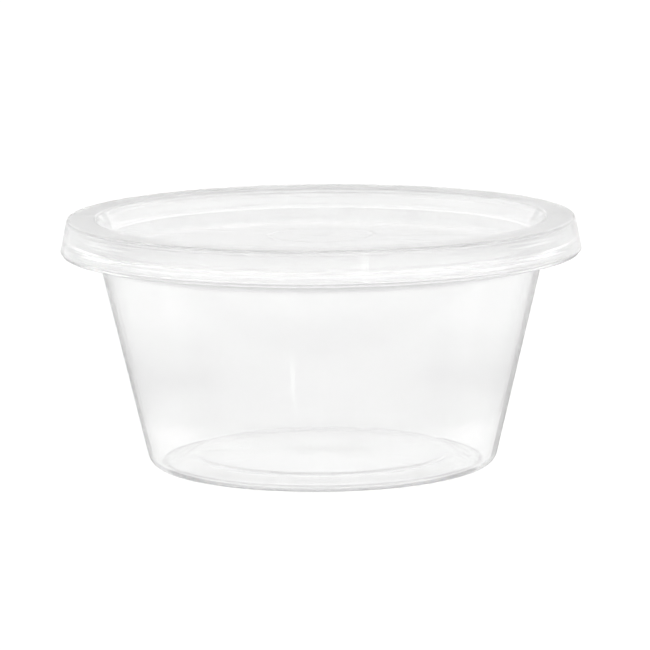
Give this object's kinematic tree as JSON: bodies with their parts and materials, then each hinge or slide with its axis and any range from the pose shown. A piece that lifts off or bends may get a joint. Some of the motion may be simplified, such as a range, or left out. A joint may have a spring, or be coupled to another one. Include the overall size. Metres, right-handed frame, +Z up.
{
  "type": "sauce portion cup",
  "caption": "Small clear round tapered pot with its press-fit lid shut, for a portion of sauce or dip.",
  "frame": {"origin": "middle of the base, on the surface that the cup stands on", "axes": "+Z up along the cup's axis of symmetry; the cup is round, so +X and +Y are any two level directions"},
  "size_m": [0.068, 0.068, 0.0326],
  "materials": {
    "cup_plastic": "clear moulded polypropylene, smooth and faintly hazy",
    "lid_plastic": "clear moulded polypropylene, smooth and faintly hazy"
  },
  "bodies": {
    "root": {"cup": "cup_plastic", "lid": "lid_plastic"}
  },
  "joints": []
}
